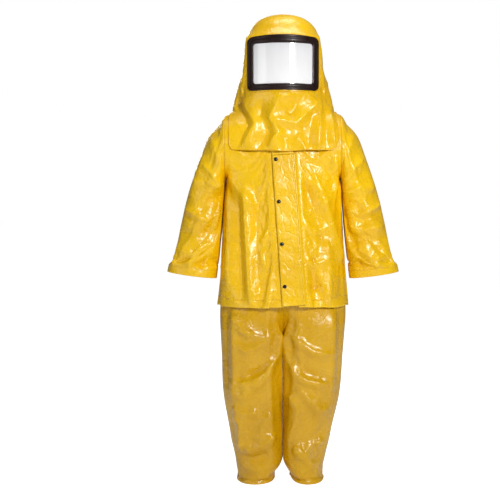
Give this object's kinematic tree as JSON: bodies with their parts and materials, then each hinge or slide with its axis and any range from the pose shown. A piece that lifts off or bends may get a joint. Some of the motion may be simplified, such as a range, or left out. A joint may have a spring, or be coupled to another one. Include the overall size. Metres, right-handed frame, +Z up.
{
  "type": "chemical protective suit",
  "caption": "Three-piece splash suit: wide trousers, snap-front jacket with swinging sleeves and storm flap, and a lift-off hood with a curved visor and head harness.",
  "frame": {"origin": "on the floor, midway between the two trouser hems", "axes": "+Z up; the suit faces -Y; +X is the wearer's left"},
  "size_m": [0.86, 0.3377, 1.75],
  "materials": {
    "pvc_yellow": "gloss",
    "snap_black": "gloss",
    "metal": "satin",
    "woven": "matte",
    "zipper": "satin",
    "visor_black": "satin",
    "visor_clear": "gloss",
    "padding": "matte",
    "harness": "satin"
  },
  "bodies": {
    "trousers": {"trouser_front_left": "pvc_yellow", "trouser_front_right": "pvc_yellow", "trouser_back_left": "pvc_yellow", "trouser_back_right": "pvc_yellow", "trouser_hem_left": "pvc_yellow", "trouser_hem_right": "pvc_yellow", "waistband": "pvc_yellow", "waist_elastic": "woven"},
    "jacket": {"jacket_front_left": "pvc_yellow", "jacket_front_right": "pvc_yellow", "jacket_back": "pvc_yellow", "jacket_collar": "pvc_yellow", "jacket_hem": "pvc_yellow", "hanger_loop": "woven", "armhole_binding_left": "pvc_yellow", "armhole_binding_right": "pvc_yellow", "zipper_tape_left": "woven", "zipper_tape_right": "woven", "zipper_coil": "zipper", "placket_underlap": "pvc_yellow", "flap_seam": "pvc_yellow", "placket_top": "pvc_yellow", "snap_stud_1": "metal", "snap_stud_2": "metal", "snap_stud_3": "metal", "snap_stud_4": "metal"},
    "flap": {"storm_flap": "pvc_yellow", "snap_cap_1": "snap_black", "snap_cap_2": "snap_black", "snap_cap_3": "snap_black", "snap_cap_4": "snap_black"},
    "zip": {"zipper_slider": "zipper", "zipper_pull": "zipper"},
    "arm_left": {"sleeve_left": "pvc_yellow", "sleeve_hem_left": "pvc_yellow"},
    "arm_right": {"sleeve_right": "pvc_yellow", "sleeve_hem_right": "pvc_yellow"},
    "hood": {"hood_crown": "pvc_yellow", "hood_bib": "pvc_yellow", "hood_back": "pvc_yellow", "hood_side_left": "pvc_yellow", "hood_side_right": "pvc_yellow", "crown_shell": "harness", "visor_frame": "visor_black", "visor_window": "visor_clear", "visor_seal": "visor_black", "visor_retainer": "visor_black", "headband": "harness", "sweatband": "padding", "crown_strap_long": "harness", "crown_strap_cross": "harness", "harness_clip_front_left": "harness", "harness_clip_front_right": "harness", "harness_clip_back_left": "harness", "harness_clip_back_right": "harness", "ratchet_housing": "harness"},
    "tail_left": {"band_tail_left": "harness"},
    "tail_right": {"band_tail_right": "harness"},
    "knob": {"ratchet_knob": "harness"}
  },
  "joints": [
    {"name": "jacket_lift", "type": "slide", "parent": "trousers", "child": "jacket", "axis": [0, 0, 1], "range_m": [0, 0.6]},
    {"name": "hood_lift", "type": "slide", "parent": "jacket", "child": "hood", "axis": [0, 0, 1], "range_m": [0, 0.5]},
    {"name": "shoulder_left", "type": "hinge", "parent": "jacket", "child": "arm_left", "pos_m": [0.215, 0, 1.265], "axis": [-1, 0, 0], "range_deg": [-35, 110]},
    {"name": "shoulder_right", "type": "hinge", "parent": "jacket", "child": "arm_right", "pos_m": [-0.215, 0, 1.265], "axis": [-1, 0, 0], "range_deg": [-35, 110]},
    {"name": "flap_hinge", "type": "hinge", "parent": "jacket", "child": "flap", "pos_m": [0.05674, -0.15086, 0.96663], "axis": [-0.0698, 0.074, 0.9948], "range_deg": [0, 140]},
    {"name": "zip_slide", "type": "slide", "parent": "jacket", "child": "zip", "axis": [0.0698, -0.074, -0.9948], "range_m": [0, 0.49]},
    {"name": "knob_turn", "type": "hinge", "parent": "hood", "child": "knob", "pos_m": [0, 0.108, 1.604], "axis": [0, 1, 0], "range_deg": [-90, 90]},
    {"name": "tail_left_slide", "type": "hinge", "parent": "hood", "child": "tail_left", "pos_m": [0, 0.02, 1.604], "axis": [0, 0, 1], "range_deg": [-9, 9]},
    {"name": "tail_right_slide", "type": "hinge", "parent": "hood", "child": "tail_right", "pos_m": [0, 0.02, 1.604], "axis": [0, 0, 1], "range_deg": [-9, 9]}
  ],
  "couplings": [
    {"joint": "tail_left_slide", "follows": "knob_turn", "ratio": 0.09},
    {"joint": "tail_right_slide", "follows": "knob_turn", "ratio": -0.09}
  ]
}
